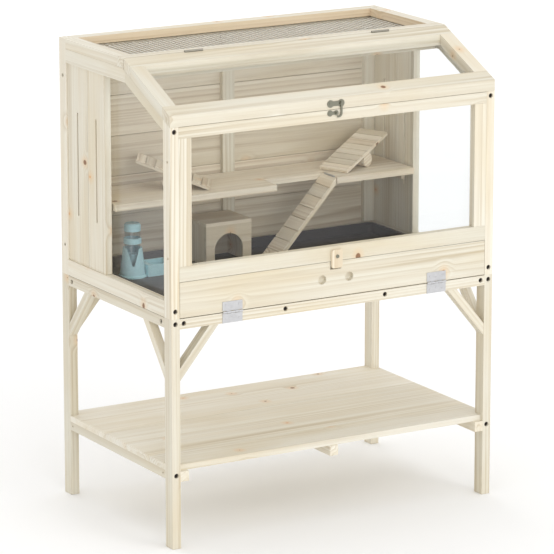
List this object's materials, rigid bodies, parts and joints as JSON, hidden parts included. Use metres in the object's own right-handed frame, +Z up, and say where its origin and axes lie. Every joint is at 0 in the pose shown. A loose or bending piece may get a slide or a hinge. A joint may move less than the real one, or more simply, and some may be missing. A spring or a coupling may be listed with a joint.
{
  "type": "hamster cage",
  "caption": "Wooden rodent cage with a hinged see-through lid, front flap, inner platform, ramp, seesaws, house and feeder, on an open stand with a shelf.",
  "frame": {"origin": "centre of the outer box at floor level, on the plane the legs stand on", "axes": "+X along the width to the right when seen from the front, +Y from the front to the back wall, +Z up"},
  "size_m": [0.8, 0.498, 1.0225],
  "materials": {
    "pine": "sanded, clear satin varnish",
    "pine_inside": "sanded, bare",
    "steel": "zinc plated, satin",
    "clear_sheet": "clear polished acrylic",
    "tray_plastic": "dark grey, moulded satin",
    "feeder_plastic": "pale blue, moulded gloss",
    "bottle_plastic": "clear moulded plastic"
  },
  "bodies": {
    "cage": {"leg_front_left": "pine", "leg_front_right": "pine", "leg_back_left": "pine", "leg_back_right": "pine", "apron_front": "pine", "apron_back": "pine", "apron_left": "pine", "apron_right": "pine", "braces_front": "pine", "braces_back": "pine", "braces_left": "pine", "braces_right": "pine", "shelf_bearers": "pine", "shelf_side_rails": "pine", "shelf_board_middle": "pine", "shelf_board_front": "pine", "shelf_board_back": "pine", "post_front_left": "pine", "post_front_right": "pine", "post_back_left": "pine", "post_back_right": "pine", "side_frame_left": "pine", "side_frame_right": "pine", "side_planks_left": "pine", "side_planks_right": "pine", "back_boards": "pine", "back_battens": "pine", "roof_frame": "pine", "roof_header": "pine", "window_frame": "pine", "floor_panel": "pine", "platform": "pine_inside", "roof_mesh": "steel", "bolts": "steel", "lid_hinge_fixed": "steel", "latch_catch": "steel", "flap_hinge_fixed": "steel", "button_screw": "steel", "ramp_hinge_fixed": "steel", "side_pane_left": "clear_sheet", "side_pane_right": "clear_sheet", "window_pane": "clear_sheet"},
    "lid": {"lid_frame": "pine", "lid_pane": "clear_sheet", "lid_hinge_moving": "steel", "latch_plate": "steel"},
    "hook": {"latch_hook": "steel"},
    "flap": {"flap_board": "pine", "flap_hinge_moving": "steel"},
    "button": {"turn_button": "pine"},
    "tray": {"tray": "tray_plastic"},
    "ramp": {"ramp": "pine_inside", "ramp_hinge_moving": "steel"},
    "seesaw_left": {"seesaw_left": "pine_inside"},
    "seesaw_right": {"seesaw_right": "pine_inside"},
    "house_walls": {"house_walls": "pine_inside"},
    "house_roof": {"house_roof": "pine_inside"},
    "feeder": {"feeder_base": "feeder_plastic"},
    "bottle": {"feeder_bottle": "bottle_plastic"},
    "cap": {"feeder_cap": "feeder_plastic"}
  },
  "joints": [
    {"name": "lid_hinge", "type": "hinge", "parent": "cage", "child": "lid", "pos_m": [0, -0.043, 1.02], "axis": [-1, 0, 0], "range_deg": [0, 110]},
    {"name": "hook_pivot", "type": "hinge", "parent": "lid", "child": "hook", "pos_m": [0.011, -0.241, 0.917], "axis": [0, 1, 0], "range_deg": [-75, 0]},
    {"name": "flap_hinge", "type": "hinge", "parent": "cage", "child": "flap", "pos_m": [0, -0.2437, 0.499], "axis": [1, 0, 0], "range_deg": [0, 178]},
    {"name": "tray_slide", "type": "slide", "parent": "cage", "child": "tray", "axis": [0, -1, 0], "range_m": [0, 0.09]},
    {"name": "button_turn", "type": "hinge", "parent": "cage", "child": "button", "pos_m": [0, -0.241, 0.588], "axis": [0, -1, 0], "range_deg": [0, 90]},
    {"name": "ramp_hinge", "type": "hinge", "parent": "cage", "child": "ramp", "pos_m": [0.1748, 0.072, 0.6865], "axis": [0, 1, 0], "range_deg": [0, 36]},
    {"name": "seesaw_left_tip", "type": "hinge", "parent": "cage", "child": "seesaw_left", "pos_m": [-0.1869, 0.143, 0.7023], "axis": [-0.5299, -0.848, 0], "range_deg": [0, 41.31]},
    {"name": "seesaw_right_tip", "type": "hinge", "parent": "cage", "child": "seesaw_right", "pos_m": [0.2791, 0.1313, 0.7023], "axis": [-0.4067, 0.9135, 0], "range_deg": [0, 41.31]},
    {"name": "house_lift", "type": "slide", "parent": "tray", "child": "house_walls", "axis": [0, 0, 1], "range_m": [0, 0.008]},
    {"name": "roof_lift", "type": "slide", "parent": "house_walls", "child": "house_roof", "axis": [0, 0, 1], "range_m": [0, 0.008]},
    {"name": "feeder_lift", "type": "slide", "parent": "tray", "child": "feeder", "axis": [0, 0, 1], "range_m": [0, 0.03]},
    {"name": "bottle_lift", "type": "slide", "parent": "feeder", "child": "bottle", "axis": [0, 0, 1], "range_m": [0, 0.008]},
    {"name": "cap_lift", "type": "slide", "parent": "bottle", "child": "cap", "axis": [0, 0, 1], "range_m": [0, 0.008]}
  ],
  "couplings": [
    {"joint": "tray_slide", "follows": "flap_hinge", "m_per_rad": 0.02887}
  ]
}
